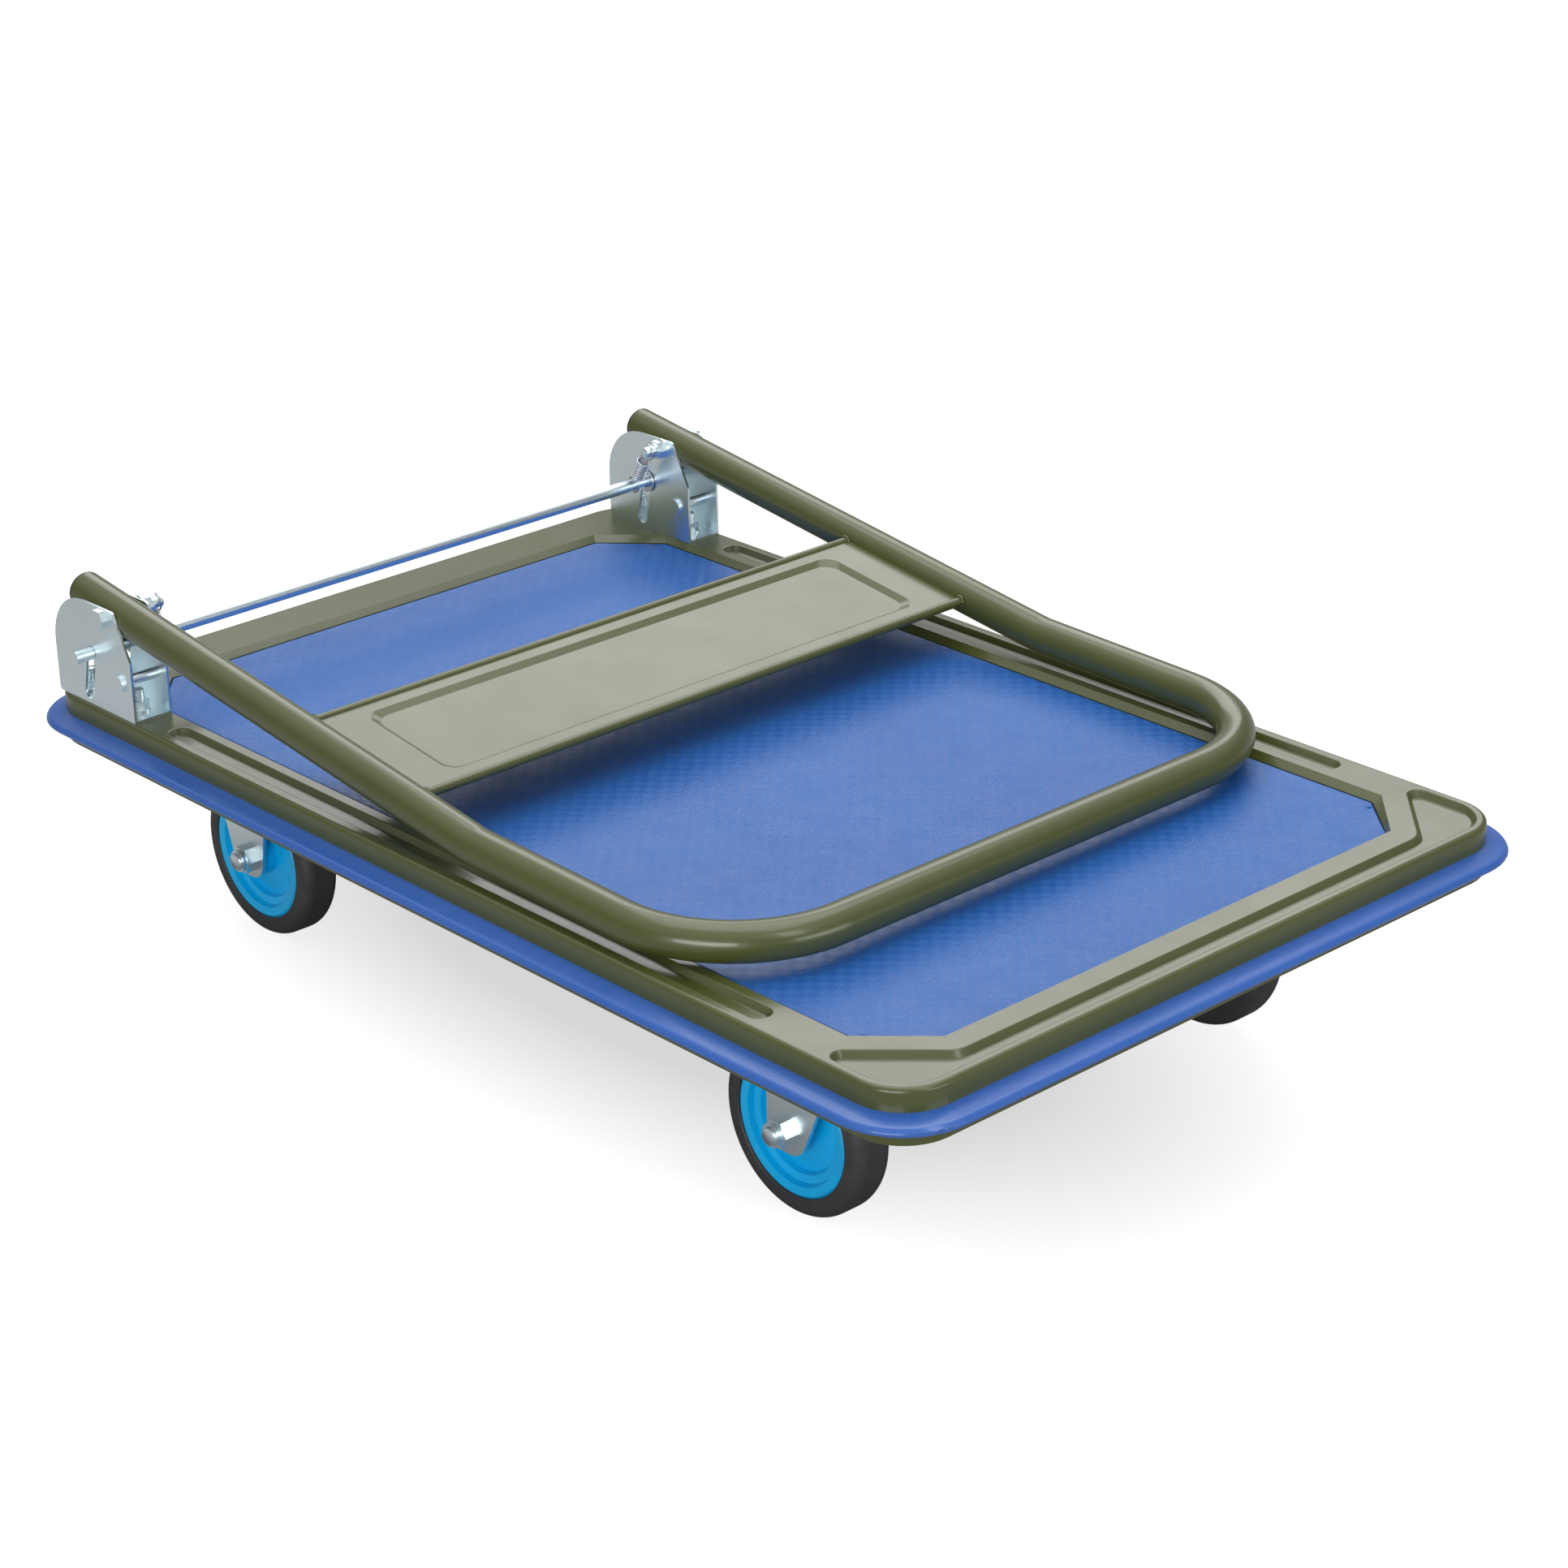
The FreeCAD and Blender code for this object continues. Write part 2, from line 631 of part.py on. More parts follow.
clips = []
clip_line = inner_face - 0.6
for side in (-1, 1):
    tag = "r" if side < 0 else "l"
    into = "Y" if side < 0 else "-Y"
    ring = cylinder("clip_ring_" + tag, 9.0, 1.5, -rod_back, clip_line * side, rod_height, into)
    bore = cylinder("clip_bore_" + tag, rod_radius, 6, -rod_back, (clip_line + 1) * side, rod_height, into)
    clips.append(cut("clip_" + tag, ring, bore))
keep("lock_rod_clips", group("lock_rod_clips_set", clips))


def spring(label, side):
    """A close wound extension spring from the pivot bolt down to the lock rod."""
    wire = 0.9
    coil = 5.2
    y = side * (inner_face.value - 14.2)
    top = V(-pivot_back.value, y, pivot_height.value)
    low = V(-rod_back.value, y, rod_height.value)
    way = (low - top)
    span = way.Length
    hook = rod_radius.value + wire + 0.35
    turns = 9
    pitch = wire * 2.12
    start = (span - turns * pitch) / 2
    helix = Part.makeLongHelix(pitch, turns * pitch, coil)
    path = Part.Wire(helix.Edges)
    first = path.Vertexes[0].Point
    ring = Part.Wire([Part.makeCircle(wire, first, V(0, 1, 0.06))])
    coils = path.makePipeShell([ring], True, True)
    pieces = [coils]
    for z_end, eye_z in ((0, -start), (turns * pitch, span - start)):
        stem = (V(0, 0, eye_z) - V(0, 0, z_end))
        eye = Part.makeTorus(hook, wire, V(0, 0, eye_z), V(1, 0, 0))
        reach_z = abs(stem.z) - hook
        bar = Part.makeCylinder(wire, reach_z + 0.4, V(0, 0, z_end - 0.2 if stem.z > 0 else z_end + 0.2),
                                V(0, 0, 1 if stem.z > 0 else -1))
        arm = Part.makeCylinder(wire, coil, V(0, 0, z_end), V(1, 0, 0))
        pieces += [eye, bar, arm]
    solid = pieces[0].fuse(pieces[1:])
    obj = doc.addObject("Part::Feature", label)
    obj.Shape = solid
    turn = FreeCAD.Rotation(V(0, 0, 1), way) * FreeCAD.Rotation(V(0, 0, 1), 90)
    obj.Placement = FreeCAD.Placement(top + way.normalize() * start, turn)
    keep(label, obj)


spring("lock_spring_r", -1)
spring("lock_spring_l", 1)


# ---------------------------------------------------------------- handle

def route_wire(points, radii):
    """A wire through the points whose inner corners are rounded to the given radii."""
    edges = []
    start = points[0]
    for i, radius in enumerate(radii):
        here = points[i + 1]
        before = (points[i] - here).normalize()
        after = (points[i + 2] - here).normalize()
        half = before.getAngle(after) / 2
        reach = radius / math.tan(half)
        centre = here + (before + after).normalize() * (radius / math.sin(half))
        middle = centre + (here - centre).normalize() * radius
        enter = here + before * reach
        leave = here + after * reach
        edges.append(Part.makeLine(start, enter))
        edges.append(Part.Arc(enter, middle, leave).toShape())
        start = leave
    edges.append(Part.makeLine(start, points[-1]))
    return Part.Wire(edges)


pivot = V(-pivot_back.value, 0, pivot_height.value)
bend = V(bend_ahead.value, 0, bend_height.value)
slope = (bend - pivot).normalize()
slope_turn = FreeCAD.Rotation(V(1, 0, 0), slope)
side_r = V(0, -bracket_line.value, 0)
side_l = V(0, bracket_line.value, 0)
front = V(bar_ahead.value, 0, bar_height.value)
tail_end = pivot - slope * tail.value

route_points = [tail_end + side_r, bend + side_r, front + side_r,
                front + side_l, bend + side_l, tail_end + side_l]
route_radii = [crank_radius.value, bar_radius.value, bar_radius.value, crank_radius.value]
centre_line = route_wire(route_points, route_radii)
outside = centre_line.makePipeShell(
    [Part.Wire([Part.makeCircle(tube_radius.value, route_points[0], slope)])], True, True)
inside = centre_line.makePipeShell(
    [Part.Wire([Part.makeCircle(tube_radius.value - tube_wall.value, route_points[0], slope)])], True, True)
bolt_bore = Part.makeCylinder(pivot_radius.value + run_gap.value, 2 * bracket_line.value + 80,
                              pivot - V(0, bracket_line.value + 40, 0), V(0, 1, 0))
tube = doc.addObject("Part::Feature", "handle_tube_shape")
tube.Shape = outside.cut(inside).cut(bolt_bore)
keep("handle_tube", tube)
solid_tube = doc.addObject("Part::Feature", "handle_envelope")
solid_tube.Shape = outside

plugs = []
for side in (-1, 1):
    tag = "r" if side < 0 else "l"
    end = tail_end + V(0, bracket_line.value * side, 0)
    turn = FreeCAD.Rotation(V(0, 0, 1), slope)
    stem = cylinder("plug_stem_" + tag, tube_radius - tube_wall, 14, end.x, end.y, end.z)
    stem.Placement = FreeCAD.Placement(end, turn)
    cap = cylinder("plug_cap_" + tag, tube_radius, 2.5, end.x, end.y, end.z)
    cap.Placement = FreeCAD.Placement(end - slope * 2.5, turn)
    rounded_cap = doc.addObject("Part::Fillet", "plug_round_" + tag)
    doc.recompute()
    rounded_cap.Base = cap
    rims = [i + 1 for i, e in enumerate(cap.Shape.Edges)
            if e.Curve.TypeId == "Part::GeomCircle" and (e.Curve.Center - end).Length > 2]
    rounded_cap.Edges = [(i, 1.8, 1.8) for i in rims]
    plugs.append(fuse("plug_" + tag, [stem, rounded_cap]))
keep("tube_plugs", group("tube_plugs_set", plugs))

panel_back = -157.0
panel_front = -29.0
panel_centre = (panel_back + panel_front) / 2
panel_drop = pivot.z + (panel_centre - pivot.x) * slope.z / slope.x
panel_half = (panel_front - panel_back) / 2 / slope.x
panel_rise = 3.0
panel_gauge = 1.5
hem = 3.4
panel = new_body("panel_body")
panel_span = bracket_line.value - 6.0
sheet = new_sketch(panel, "panel_outline", "XY_Plane", panel_rise - panel_gauge)
polygon(sheet, [(-panel_half + hem, -panel_span), (panel_half - hem, -panel_span),
                (panel_half - hem, panel_span), (-panel_half + hem, panel_span)])
pad(panel, "panel_sheet", sheet, panel_gauge)
hems = new_sketch(panel, "panel_hems", "XZ_Plane")
for end in (-1, 1):
    circle(hems, end * (panel_half - hem), panel_rise - 1.2, hem)
pad(panel, "panel_rolled_edges", hems, 2 * panel_span, midplane=True)


def panel_frame(sketch, inset):
    a = panel_half - 17 - inset
    b = 216 - inset
    rounded(sketch, [(-a, -b, 12), (a, -b, 12), (a, b, 12), (-a, b, 12)])


dish_outer = new_sketch(panel, "dish_outer", "XY_Plane", panel_rise - panel_gauge)
panel_frame(dish_outer, -1)
dish_under = new_sketch(panel, "dish_under", "XY_Plane", panel_rise - panel_gauge - 3)
panel_frame(dish_under, 4)
loft(panel, "dish_skin", "AdditiveLoft", [dish_outer, dish_under])
dish_top = new_sketch(panel, "dish_top", "XY_Plane", panel_rise)
panel_frame(dish_top, 0)
dish_floor = new_sketch(panel, "dish_floor", "XY_Plane", panel_rise - 3)
panel_frame(dish_floor, 5)
loft(panel, "dish_recess", "SubtractiveLoft", [dish_top, dish_floor])


def on_dish(edge):
    box = edge.BoundBox
    return level(edge, panel_rise) and max(abs(box.YMin), abs(box.YMax)) < 217


soften(panel, "dish_edges", edge_radius, on_dish)
panel.Placement = FreeCAD.Placement(V(panel_centre, 0, panel_drop), slope_turn)
keep("handle_panel", cut("handle_panel_trimmed", panel, solid_tube))


# ---------------------------------------------------------------- casters

def wheel(tag, x, side):
    """Tyre, hub and bearing turned about the axle."""
    y = wheel_line * side
    half = wheel_width.value / 2
    rim = 48.2
    hub = new_body("hub_body_" + tag)
    profile = new_sketch(hub, "hub_profile_" + tag, "XY_Plane")
    wide = fork_gap.value / 2 - 0.6
    upper = [(9, wide), (14.5, wide), (15.5, 7.5), (33, 4.5), (34.5, 8.5), (39.5, 9.5),
             (40.8, half - 1.5), (46.5, half - 0.6), (rim, half - 2)]
    lower = [(r, -w) for r, w in reversed(upper)]
    polygon(profile, upper + lower)
    turned(hub, "hub_turned_" + tag, profile)
    hub.Placement = FreeCAD.Placement(V(0, 0, 0), FreeCAD.Rotation())
    put(hub, x, y, wheel_radius)
    keep("hub_" + tag, hub)

    tyre = new_body("tyre_body_" + tag)
    tread = new_sketch(tyre, "tyre_profile_" + tag, "XY_Plane")
    r = wheel_radius.value
    rounded(tread, [(rim, -half, 1.5), (r, -half, 8.5), (r, half, 8.5), (rim, half, 1.5)])
    turned(tyre, "tyre_turned_" + tag, tread)
    put(tyre, x, y, wheel_radius)
    keep("tyre_" + tag, tyre)

    race = cylinder("bearing_race_" + tag, 9, wide * 2, x, y - wide, wheel_radius, "Y")
    bore = cylinder("bearing_bore_" + tag, axle_radius + run_gap, wide * 2 + 4, x, y - wide - 2,
                    wheel_radius, "Y")
    keep("bearing_" + tag, cut("bearing_shape_" + tag, race, bore))

    out = "Y" if side > 0 else "-Y"
    inward = "-Y" if side > 0 else "Y"
    leg = fork_gap / 2 + fork_gauge
    head = hexagon("axle_head_" + tag, 18, 7.5, x, y - leg * side, wheel_radius, inward)
    shank = cylinder("axle_shank_" + tag, axle_radius, fork_gap + fork_gauge * 2 + 13, x, y - leg * side,
                     wheel_radius, out)
    keep("axle_" + tag, fuse("axle_shape_" + tag, [head, shank]))
    nut = hexagon("axle_hex_" + tag, 18, 7.5, x, y + leg * side, wheel_radius, out)
    collar = cylinder("axle_collar_" + tag, 8.3, 10.5, x, y + leg * side, wheel_radius, out)
    tap = cylinder("axle_tap_" + tag, axle_radius, 16, x, y + (leg - 2) * side, wheel_radius, out)
    keep("axle_nut_" + tag, cut("axle_nut_shape_" + tag, fuse("axle_nut_blank_" + tag, [nut, collar]), tap))


def leg_outline(sketch, crown, kind):
    r = 15.2
    a = wheel_radius.value
    if kind == "rigid":
        corners = [(-r, a - r, r - 0.1), (r, a - r, r - 0.1), (31, a + 22, 14), (36, crown, 0),
                   (-36, crown, 0), (-r, a + 50, 12)]
    else:
        corners = [(-r, a - r, r - 0.4), (r - 1, a - r, r - 0.4), (21, a + 30, 12), (20, crown, 0),
                   (-66, crown, 0), (-30, a + 30, 20)]
    rounded(sketch, corners)


def fork(label, body, x, side, crown, kind):
    """Two legs folded down from the crown, with the axle hole near their feet."""
    line = wheel_line * side
    width = fork_gap + fork_gauge * 2
    legs = new_sketch(body, label + "_legs", "XZ_Plane")
    leg_outline(legs, crown.value, kind)
    pad(body, label + "_cheeks", legs, width, midplane=True)
    gap = new_sketch(body, label + "_gap", "XZ_Plane")
    polygon(gap, [(-95, 20), (95, 20), (95, crown - fork_gauge), (-95, crown - fork_gauge)])
    pocket(body, label + "_slot", gap, fork_gap, midplane=True)
    bore = new_sketch(body, label + "_bore", "XZ_Plane")
    circle(bore, 0, wheel_radius, axle_radius)
    pocket(body, label + "_axle_hole", bore, 80, midplane=True)


def top_plate(body, label, centre):
    sheet = new_sketch(body, label + "_plate", "XY_Plane", plate_top - fork_gauge)
    a, b = plate_length.value / 2, plate_width.value / 2
    rounded(sheet, [(centre - a, -b, 8), (centre + a, -b, 8), (centre + a, b, 8), (centre - a, b, 8)])
    pad(body, label + "_plate_sheet", sheet, fork_gauge)
    holes = new_sketch(body, label + "_plate_holes", "XY_Plane", plate_top)
    for i in (-1, 1):
        for j in (-1, 1):
            circle(holes, hole_pitch_x * (i / 2) + centre, hole_pitch_y * (j / 2), 4.2)
    pocket(body, label + "_plate_drilling", holes, fork_gauge)


def rigid_caster(tag, side):
    body = new_body("rigid_body_" + tag)
    fork("rigid_" + tag, body, front_axle, side, plate_top - fork_gauge, "rigid")
    top_plate(body, "rigid_" + tag, 0)
    put(body, front_axle, wheel_line * side, 0)
    keep("rigid_fork_" + tag, body)
    wheel(tag, front_axle, side)


crown_top = plate_top - fork_gauge - 12


def swivel_caster(tag, side):
    y = wheel_line * side
    plate = new_body("plate_body_" + tag)
    top_plate(plate, "swivel_plate_" + tag, 0)
    hole = new_sketch(plate, "swivel_hole_" + tag, "XY_Plane", plate_top)
    circle(hole, 0, 0, axle_radius)
    pocket(plate, "swivel_boring_" + tag, hole, fork_gauge)
    put(plate, king, y, 0)
    keep("swivel_plate_" + tag, plate)

    upper = cylinder("upper_ring_" + tag, 30, 5.5, king, y, plate_top - fork_gauge - 5.5)
    upper_bore = cylinder("upper_bore_" + tag, 18, 9, king, y, plate_top - fork_gauge - 7)
    upper_blank = cut("upper_race_shape_" + tag, upper, upper_bore)
    lower = cylinder("lower_ring_" + tag, 27, 5.5, king, y, crown_top)
    lower_bore = cylinder("lower_bore_" + tag, 16, 9, king, y, crown_top - 1)
    lower_blank = cut("lower_race_shape_" + tag, lower, lower_bore)

    balls = []
    ball_z = crown_top + 6.0
    for i in range(16):
        angle = 2 * math.pi * i / 16
        centre_x = king + 22 * math.cos(angle)
        balls.append(ball("ball_" + tag + str(i), 2.4, centre_x, y + 22 * math.sin(angle), ball_z))
    track = doc.addObject("Part::Torus", "ball_track_" + tag)
    track.Radius1 = 22
    track.Radius2 = 2.45
    put(track, king, y, ball_z)
    keep("upper_race_" + tag, cut("upper_race_grooved_" + tag, upper_blank, track))
    keep("lower_race_" + tag, cut("lower_race_grooved_" + tag, lower_blank, track))
    keep("race_balls_" + tag, group("race_balls_set_" + tag, balls))

    body = new_body("swivel_body_" + tag)
    fork("swivel_" + tag, body, -rear_axle, side, crown_top, "swivel")
    crown = new_sketch(body, "crown_" + tag, "XY_Plane", crown_top - fork_gauge)
    circle(crown, -trail, 0, 30)
    pad(body, "crown_disc_" + tag, crown, fork_gauge)
    bore = new_sketch(body, "crown_bore_" + tag, "XY_Plane", crown_top)
    circle(bore, -trail, 0, axle_radius + run_gap)
    pocket(body, "crown_hole_" + tag, bore, fork_gauge)
    put(body, -rear_axle, y, 0)
    keep("swivel_fork_" + tag, body)

    pin_base = crown_top - fork_gauge - 0.4
    head = cylinder("king_head_" + tag, 10, 5, king, y, pin_base - 5)
    shank = cylinder("king_shank_" + tag, axle_radius, plate_top - pin_base + 11, king, y, pin_base - 0.1)
    keep("kingpin_" + tag, fuse("kingpin_shape_" + tag, [head, shank]))
    wheel(tag, -rear_axle, side)


rigid_caster("fr", -1)
rigid_caster("fl", 1)
swivel_caster("rr", -1)
swivel_caster("rl", 1)

plate_bolts, plate_nuts = [], []
for centre, end in ((front_axle, "f"), (king, "r")):
    for side in (-1, 1):
        for i in (-1, 1):
            for j in (-1, 1):
                tag = end + str(side + 2) + str(i + 2) + str(j + 2)
                x = centre + hole_pitch_x * (i / 2)
                y = wheel_line * side + hole_pitch_y * (j / 2)
                low = plate_top - fork_gauge
                head = hexagon("plate_head_" + tag, 13, 5.3, x, y, low - 5.3)
                shank = cylinder("plate_shank_" + tag, 4, 14.5, x, y, low - 0.1)
                plate_bolts.append(fuse("plate_bolt_" + tag, [head, shank]))
                hexa = hexagon("plate_hex_" + tag, 13, 6.5, x, y, plate_top + gauge)
                tap = cylinder("plate_tap_" + tag, 4, 9, x, y, plate_top + gauge - 1)
                plate_nuts.append(cut("plate_nut_" + tag, hexa, tap))
keep("caster_bolts", group("caster_bolts_set", plate_bolts))
keep("caster_nuts", group("caster_nuts_set", plate_nuts))


# ---------------------------------------------------------------- check and write

doc.recompute()
problems = []
for obj in doc.Objects:
    if "Invalid" in obj.State or "Error" in obj.State:
        problems.append(obj.Name + " is " + ", ".join(obj.State))
for label, obj in nodes.items():
    shape = obj.Shape
    if shape.isNull() or not shape.isValid() or not shape.Solids:
        problems.append(label + " has no valid solid")
if problems:
    raise RuntimeError("; ".join(problems))

os.makedirs("parts", exist_ok=True)
for label, obj in nodes.items():
    obj.Shape.exportStep("parts/" + label + ".step")
print(len(nodes), "sub-parts written")
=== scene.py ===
import json
import math

import bmesh
import bpy
from mathutils import Matrix, Vector, noise


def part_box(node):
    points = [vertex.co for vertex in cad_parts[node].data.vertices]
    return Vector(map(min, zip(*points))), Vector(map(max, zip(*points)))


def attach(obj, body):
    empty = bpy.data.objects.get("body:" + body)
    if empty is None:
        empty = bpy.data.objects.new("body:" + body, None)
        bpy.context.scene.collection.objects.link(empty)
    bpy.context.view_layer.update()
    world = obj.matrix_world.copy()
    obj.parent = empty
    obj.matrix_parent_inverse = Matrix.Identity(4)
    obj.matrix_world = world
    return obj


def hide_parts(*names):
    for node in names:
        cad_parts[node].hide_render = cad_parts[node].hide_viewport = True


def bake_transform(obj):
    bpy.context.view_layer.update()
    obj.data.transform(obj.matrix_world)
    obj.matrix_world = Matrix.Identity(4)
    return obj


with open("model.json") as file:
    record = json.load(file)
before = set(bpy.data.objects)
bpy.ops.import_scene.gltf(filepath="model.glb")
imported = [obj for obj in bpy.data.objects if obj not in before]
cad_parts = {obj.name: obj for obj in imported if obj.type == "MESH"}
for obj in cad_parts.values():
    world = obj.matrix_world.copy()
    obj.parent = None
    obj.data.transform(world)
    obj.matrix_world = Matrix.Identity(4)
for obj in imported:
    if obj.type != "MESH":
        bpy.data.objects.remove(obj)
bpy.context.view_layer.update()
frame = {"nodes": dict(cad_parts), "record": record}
NODES = frame["nodes"]
SCENE = bpy.context.scene
WHEELS = ("fr", "fl", "rr", "rl")
SIDES = {"r": -1, "l": 1}
MM = 0.001
# centre lines of the handle's pivot and of the lock rod at rest
PIVOT_X, PIVOT_Z = -0.362, 0.2525
ROD_X, ROD_Z = -0.381, 0.221
# places of the fixings whose ends carry a thread
FOOT_BOLT_X = (-0.350, -0.408)
FOOT_BOLT_Y = 0.2606
PIVOT_NUT_Y = 0.2361
PIVOT_THREAD = 9.1 * MM
# radius and pitch of the threads
M8, M8_PITCH = 4 * MM, 1.25 * MM
M12, M12_PITCH = 6 * MM, 1.5 * MM


# ---------------------------------------------------------------- material helpers

class Shade:
    """A small builder for one procedural material."""

    def __init__(self, name):
        self.mat = bpy.data.materials.new(name)
        self.mat.use_nodes = True
        self.tree = self.mat.node_tree
        self.tree.nodes.clear()
        self.bsdf = self.node("ShaderNodeBsdfPrincipled")
        out = self.node("ShaderNodeOutputMaterial")
        self.link(self.bsdf.outputs["BSDF"], out.inputs["Surface"])
        self.coords = self.node("ShaderNodeTexCoord").outputs["Object"]
        self.normal = None

    def node(self, kind, **settings):
        n = self.tree.nodes.new(kind)
        for key, value in settings.items():
            setattr(n, key, value)
        return n

    def link(self, a, b):
        self.tree.links.new(a, b)

    def set(self, **values):
        for key, value in values.items():
            self.bsdf.inputs[key.replace("_", " ")].default_value = value

    def scaled(self, sx, sy, sz):
        m = self.node("ShaderNodeMapping")
        m.inputs["Scale"].default_value = (sx, sy, sz)
        self.link(self.coords, m.inputs["Vector"])
        return m.outputs["Vector"]

    def noise(self, scale, detail=3, rough=0.5, vector=None):
        n = self.node("ShaderNodeTexNoise")
        n.inputs["Scale"].default_value = scale
        n.inputs["Detail"].default_value = detail
        n.inputs["Roughness"].default_value = rough
        self.link(vector or self.coords, n.inputs["Vector"])
        return n.outputs["Fac"]

    def wave(self, scale, direction="X", distortion=0.0):
        n = self.node("ShaderNodeTexWave", bands_direction=direction)
        n.inputs["Scale"].default_value = scale
        n.inputs["Distortion"].default_value = distortion
        self.link(self.coords, n.inputs["Vector"])
        return n.outputs["Fac"]

    def remap(self, value, low, high, to_low, to_high):
        n = self.node("ShaderNodeMapRange")
        n.inputs["From Min"].default_value = low
        n.inputs["From Max"].default_value = high
        n.inputs["To Min"].default_value = to_low
        n.inputs["To Max"].default_value = to_high
        self.link(value, n.inputs["Value"])
        return n.outputs["Result"]

    def math(self, kind, a, b):
        n = self.node("ShaderNodeMath", operation=kind)
        for i, x in enumerate((a, b)):
            if isinstance(x, (int, float)):
                n.inputs[i].default_value = x
            else:
                self.link(x, n.inputs[i])
        return n.outputs[0]

    def mix(self, fac, a, b):
        n = self.node("ShaderNodeMix", data_type="RGBA")
        self.link(fac, n.inputs["Factor"])
        for key, x in (("A", a), ("B", b)):
            socket = [s for s in n.inputs if s.name == key and s.type == "RGBA"][0]
            if isinstance(x, tuple):
                socket.default_value = (*x, 1)
            else:
                self.link(x, socket)
        return [s for s in n.outputs if s.type == "RGBA"][0]

    def bump(self, height, strength, distance):
        n = self.node("ShaderNodeBump")
        n.inputs["Strength"].default_value = strength
        n.inputs["Distance"].default_value = distance
        self.link(height, n.inputs["Height"])
        if self.normal:
            self.link(self.normal, n.inputs["Normal"])
        self.normal = n.outputs["Normal"]

    def done(self, colour, rough=None):
        self.link(colour, self.bsdf.inputs["Base Color"])
        if rough:
            self.link(rough, self.bsdf.inputs["Roughness"])
        if self.normal:
            self.link(self.normal, self.bsdf.inputs["Normal"])
        return self.mat


def olive_paint():
    """Glossy olive enamel: an even coat with a faint orange peel and slow changes of tone and gloss."""
    s = Shade("olive_paint")
    tone = s.mix(s.remap(s.noise(5, 2), 0.3, 0.7, 0, 1), (0.054, 0.064, 0.013), (0.064, 0.075, 0.018))
    grain = s.remap(s.noise(900, 2), 0.55, 0.8, 0, 0.06)
    tone = s.mix(grain, tone, (0.10, 0.11, 0.05))
    rough = s.remap(s.noise(24, 4), 0.3, 0.7, 0.27, 0.34)
    s.bump(s.noise(330, 2, 0.4), 0.03, 0.0005)
    s.set(Coat_Weight=0.32, Coat_Roughness=0.10, Specular_IOR_Level=0.5)
    return s.done(tone, rough)


def mat_vinyl():
    """Blue vinyl with a fine leather grain and faint small checks."""
    s = Shade("mat_vinyl")
    checks = s.node("ShaderNodeTexChecker")
    checks.inputs["Scale"].default_value = 1.0
    s.link(s.scaled(145, 145, 0.001), checks.inputs["Vector"])
    weave = s.math("MULTIPLY", s.wave(160, "X"), s.wave(160, "Y"))
    broad = s.remap(s.noise(7, 3), 0.3, 0.7, 0, 1)
    tone = s.mix(broad, (0.007, 0.078, 0.32), (0.010, 0.094, 0.36))
    tone = s.mix(s.math("MULTIPLY", checks.outputs["Fac"], 0.22), tone, (0.03, 0.16, 0.46))
    grain = s.noise(1400, 3, 0.6)
    tone = s.mix(s.remap(grain, 0.45, 0.75, 0, 0.25), tone, (0.025, 0.15, 0.45))
    rough = s.math("ADD", s.remap(checks.outputs["Fac"], 0, 1, 0.37, 0.47),
                   s.remap(s.noise(40, 4), 0.3, 0.7, -0.04, 0.06))
    s.bump(weave, 0.34, 0.0004)
    s.bump(grain, 0.35, 0.0003)
    s.bump(checks.outputs["Fac"], 0.05, 0.0002)
    s.set(Specular_IOR_Level=0.42)
    return s.done(tone, rough)


def bumper_vinyl():
    """Glossier blue vinyl with faint lines from extrusion."""
    s = Shade("bumper_vinyl")
    tone = s.mix(s.remap(s.noise(9, 3), 0.3, 0.7, 0, 1), (0.022, 0.094, 0.36), (0.030, 0.108, 0.40))
    lines = s.wave(420, "Z", 1.5)
    scuffs = s.remap(s.noise(1.0, 4, 0.7, s.scaled(60, 60, 700)), 0.72, 0.95, 0, 0.03)
    tone = s.mix(scuffs, tone, (0.06, 0.14, 0.42))
    rough = s.math("ADD", s.remap(s.noise(55, 3), 0.3, 0.7, 0.2, 0.3), s.math("MULTIPLY", scuffs, 0.3))
    s.bump(lines, 0.03, 0.0003)
    s.bump(s.noise(60, 2), 0.03, 0.0006)
    s.set(Coat_Weight=0.25, Coat_Roughness=0.15)
    return s.done(tone, rough)


def zinc_steel():
    """Bright zinc plate: pale and bluish, with faint drawn lines and a slow cloudiness."""
    s = Shade("zinc_steel")
    s.set(Metallic=1.0)
    tone = s.mix(s.remap(s.noise(14, 3), 0.3, 0.7, 0, 1), (0.78, 0.89, 0.93), (0.84, 0.94, 0.98))
    lines = s.remap(s.noise(1.0, 3, 0.6, s.scaled(260, 26, 26)), 0.62, 0.9, 0, 0.12)
    tone = s.mix(lines, tone, (0.68, 0.76, 0.80))
    rough = s.remap(s.noise(9, 3), 0.3, 0.7, 0.27, 0.31)
    s.bump(s.noise(35, 2), 0.02, 0.0006)
    return s.done(tone, rough)


def wire_steel(name, dark):
    """Plain drawn or ground steel, from the tone dark to a little paler."""
    s = Shade(name)
    s.set(Metallic=1.0)
    tone = s.mix(s.remap(s.noise(120, 3), 0.3, 0.7, 0, 1), (dark, dark * 1.05, dark * 1.1),
                 (dark + 0.16, dark + 0.18, dark + 0.2))
    rough = s.remap(s.noise(260, 3), 0.3, 0.7, 0.2, 0.36)
    s.bump(s.noise(1500, 2), 0.05, 0.0002)
    return s.done(tone, rough)


